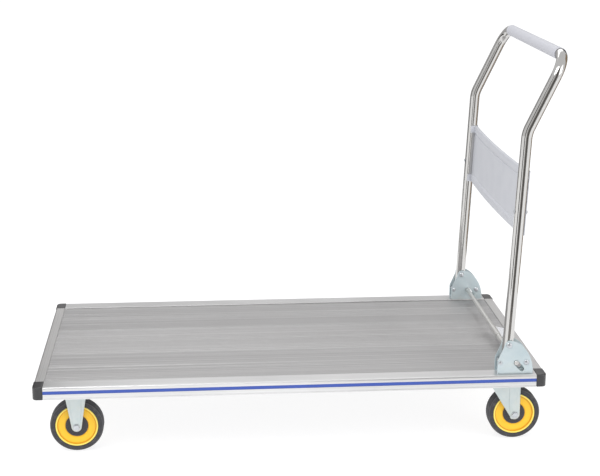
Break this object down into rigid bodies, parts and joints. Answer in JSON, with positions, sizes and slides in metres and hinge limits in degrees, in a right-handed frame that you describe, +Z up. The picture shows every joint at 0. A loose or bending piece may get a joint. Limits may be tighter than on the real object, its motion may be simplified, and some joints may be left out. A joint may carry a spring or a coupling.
{
  "type": "folding platform cart",
  "caption": "Flat platform hand cart with a plank deck in an extruded frame, a folding bent-tube handle with a foot-released lock bar, and rigid and swivel casters.",
  "frame": {"origin": "on the floor under the middle of the bounding box", "axes": "+X along the deck from its front end towards the handle end, +Y to the right of the person who pushes it, +Z up"},
  "size_m": [1.231, 0.656, 0.9442],
  "materials": {
    "deck_aluminium": "satin extruded",
    "rail_aluminium": "satin anodised",
    "stripe_plastic": "smooth",
    "cap_plastic": "fine texture",
    "member_steel": "satin",
    "handle_chrome": "polished",
    "grip_plastic": "satin",
    "panel_plastic": "satin",
    "bracket_zinc": "bright zinc plate",
    "caster_zinc": "bright zinc plate",
    "bolt_steel": "plated",
    "axle_steel": "plated",
    "lock_steel": "plated",
    "pedal_plastic": "satin",
    "tyre_rubber": "satin rubber",
    "wheel_plastic": "moulded",
    "hub_plastic": "moulded"
  },
  "bodies": {
    "base": {"deck_plank_1": "deck_aluminium", "deck_plank_2": "deck_aluminium", "deck_plank_3": "deck_aluminium", "deck_plank_4": "deck_aluminium", "deck_plank_5": "deck_aluminium", "deck_plank_6": "deck_aluminium", "side_rail_left": "rail_aluminium", "side_rail_right": "rail_aluminium", "end_rail_front": "rail_aluminium", "end_rail_rear": "rail_aluminium", "side_stripe_left": "stripe_plastic", "side_stripe_right": "stripe_plastic", "end_stripe_front": "stripe_plastic", "end_stripe_rear": "stripe_plastic", "corner_cap_front_left": "cap_plastic", "corner_cap_front_right": "cap_plastic", "corner_cap_rear_left": "cap_plastic", "corner_cap_rear_right": "cap_plastic", "cross_member_1": "member_steel", "cross_member_2": "member_steel", "cross_member_3": "member_steel", "hinge_bracket_left": "bracket_zinc", "pivot_bolt_left": "bolt_steel", "stop_pin_left": "bolt_steel", "spacer_bolt_left": "bolt_steel", "rigid_fork_left": "caster_zinc", "swivel_plate_left": "caster_zinc", "hinge_bracket_right": "bracket_zinc", "pivot_bolt_right": "bolt_steel", "stop_pin_right": "bolt_steel", "spacer_bolt_right": "bolt_steel", "rigid_fork_right": "caster_zinc", "swivel_plate_right": "caster_zinc", "axle_front_left": "axle_steel", "axle_front_right": "axle_steel"},
    "handle": {"handle_tube": "handle_chrome", "handle_grip": "grip_plastic", "handle_panel": "panel_plastic", "panel_screw_left": "bolt_steel", "panel_screw_right": "bolt_steel"},
    "lock": {"lock_bar": "lock_steel", "lock_pedal": "pedal_plastic"},
    "swivel_left": {"swivel_fork_left": "caster_zinc", "axle_rear_left": "axle_steel"},
    "swivel_right": {"swivel_fork_right": "caster_zinc", "axle_rear_right": "axle_steel"},
    "wheel_front_left": {"tyre_front_left": "tyre_rubber", "wheel_centre_front_left": "wheel_plastic", "wheel_hub_front_left": "hub_plastic"},
    "wheel_front_right": {"tyre_front_right": "tyre_rubber", "wheel_centre_front_right": "wheel_plastic", "wheel_hub_front_right": "hub_plastic"},
    "wheel_rear_left": {"tyre_rear_left": "tyre_rubber", "wheel_centre_rear_left": "wheel_plastic", "wheel_hub_rear_left": "hub_plastic"},
    "wheel_rear_right": {"tyre_rear_right": "tyre_rubber", "wheel_centre_rear_right": "wheel_plastic", "wheel_hub_rear_right": "hub_plastic"}
  },
  "joints": [
    {"name": "handle_fold", "type": "hinge", "parent": "base", "child": "handle", "pos_m": [0.49445, 0, 0.25702], "axis": [0, -1, 0], "range_deg": [0, 93]},
    {"name": "lock_bar_slide", "type": "slide", "parent": "base", "child": "lock", "axis": [0.6548, 0, -0.7558], "range_m": [0, 0.02], "stiffness_N_per_m": 400, "springref_m": -0.03},
    {"name": "swivel_turn_left", "type": "hinge", "parent": "base", "child": "swivel_left", "pos_m": [0.50045, -0.244, 0.145], "axis": [0, 0, 1], "continuous": true},
    {"name": "swivel_turn_right", "type": "hinge", "parent": "base", "child": "swivel_right", "pos_m": [0.50045, 0.244, 0.145], "axis": [0, 0, 1], "continuous": true},
    {"name": "wheel_spin_front_left", "type": "hinge", "parent": "base", "child": "wheel_front_left", "pos_m": [-0.52255, -0.244, 0.0635], "axis": [0, 1, 0], "continuous": true},
    {"name": "wheel_spin_front_right", "type": "hinge", "parent": "base", "child": "wheel_front_right", "pos_m": [-0.52255, 0.244, 0.0635], "axis": [0, 1, 0], "continuous": true},
    {"name": "wheel_spin_rear_left", "type": "hinge", "parent": "swivel_left", "child": "wheel_rear_left", "pos_m": [0.52545, -0.244, 0.0635], "axis": [0, 1, 0], "continuous": true},
    {"name": "wheel_spin_rear_right", "type": "hinge", "parent": "swivel_right", "child": "wheel_rear_right", "pos_m": [0.52545, 0.244, 0.0635], "axis": [0, 1, 0], "continuous": true}
  ]
}
